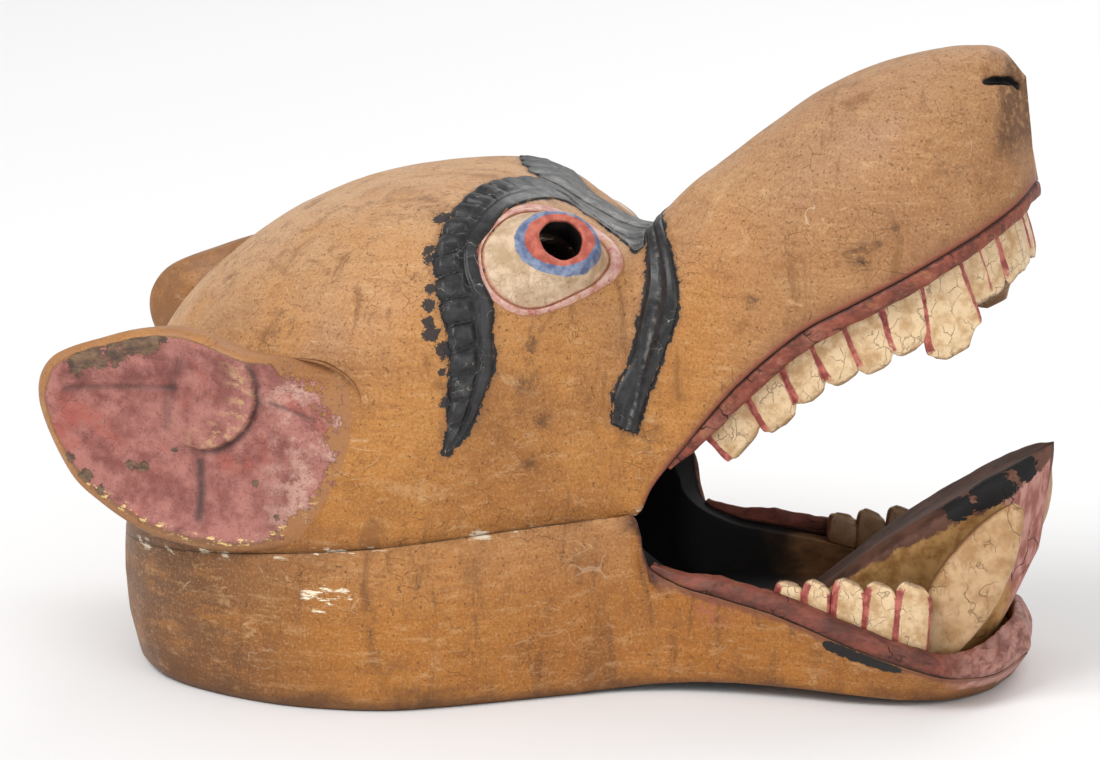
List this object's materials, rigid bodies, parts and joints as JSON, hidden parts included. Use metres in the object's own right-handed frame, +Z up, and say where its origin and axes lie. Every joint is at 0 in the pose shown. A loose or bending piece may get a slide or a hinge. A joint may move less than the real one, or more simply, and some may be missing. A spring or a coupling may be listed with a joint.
{
  "type": "carved festival mask",
  "caption": "Carved and painted wooden helmet mask of an animal head with a wide open toothed mouth, raised tongue, side ears and bored pupils.",
  "frame": {"origin": "centre of the outline on the floor, under the mask as it rests on its collar and chin", "axes": "+X toward the snout, +Y toward the mask's own left ear, +Z up"},
  "size_m": [0.4974, 0.2858, 0.3175],
  "materials": {
    "ochre_paint": "worn ochre and tan paint on carved wood",
    "pink_paint": "dull pink and maroon paint, flaked",
    "black_paint": "black paint, scuffed",
    "cream_paint": "cream paint, stained",
    "maroon_paint": "brown maroon paint, flaked to black"
  },
  "bodies": {
    "root": {"brow_left": "black_paint", "brow_right": "black_paint", "cheek_band_left": "black_paint", "cheek_band_right": "black_paint", "ear_left": "ochre_paint", "ear_right": "ochre_paint", "eye_left": "cream_paint", "eye_right": "cream_paint", "eyelid_left": "pink_paint", "eyelid_right": "pink_paint", "head_upper": "ochre_paint", "jaw_lower": "ochre_paint", "lip_lower": "pink_paint", "lip_upper": "pink_paint", "tongue": "maroon_paint", "tooth_lower_left_01": "cream_paint", "tooth_lower_left_02": "cream_paint", "tooth_lower_left_03": "cream_paint", "tooth_lower_left_04": "cream_paint", "tooth_lower_left_05": "cream_paint", "tooth_lower_right_01": "cream_paint", "tooth_lower_right_02": "cream_paint", "tooth_lower_right_03": "cream_paint", "tooth_lower_right_04": "cream_paint", "tooth_lower_right_05": "cream_paint", "tooth_upper_left_01": "cream_paint", "tooth_upper_left_02": "cream_paint", "tooth_upper_left_03": "cream_paint", "tooth_upper_left_04": "cream_paint", "tooth_upper_left_05": "cream_paint", "tooth_upper_left_06": "cream_paint", "tooth_upper_left_07": "cream_paint", "tooth_upper_left_08": "cream_paint", "tooth_upper_left_09": "cream_paint", "tooth_upper_left_10": "cream_paint", "tooth_upper_left_11": "cream_paint", "tooth_upper_right_01": "cream_paint", "tooth_upper_right_02": "cream_paint", "tooth_upper_right_03": "cream_paint", "tooth_upper_right_04": "cream_paint", "tooth_upper_right_05": "cream_paint", "tooth_upper_right_06": "cream_paint", "tooth_upper_right_07": "cream_paint", "tooth_upper_right_08": "cream_paint", "tooth_upper_right_09": "cream_paint", "tooth_upper_right_10": "cream_paint", "tooth_upper_right_11": "cream_paint", "tusk_left": "cream_paint", "tusk_right": "cream_paint"}
  },
  "joints": []
}
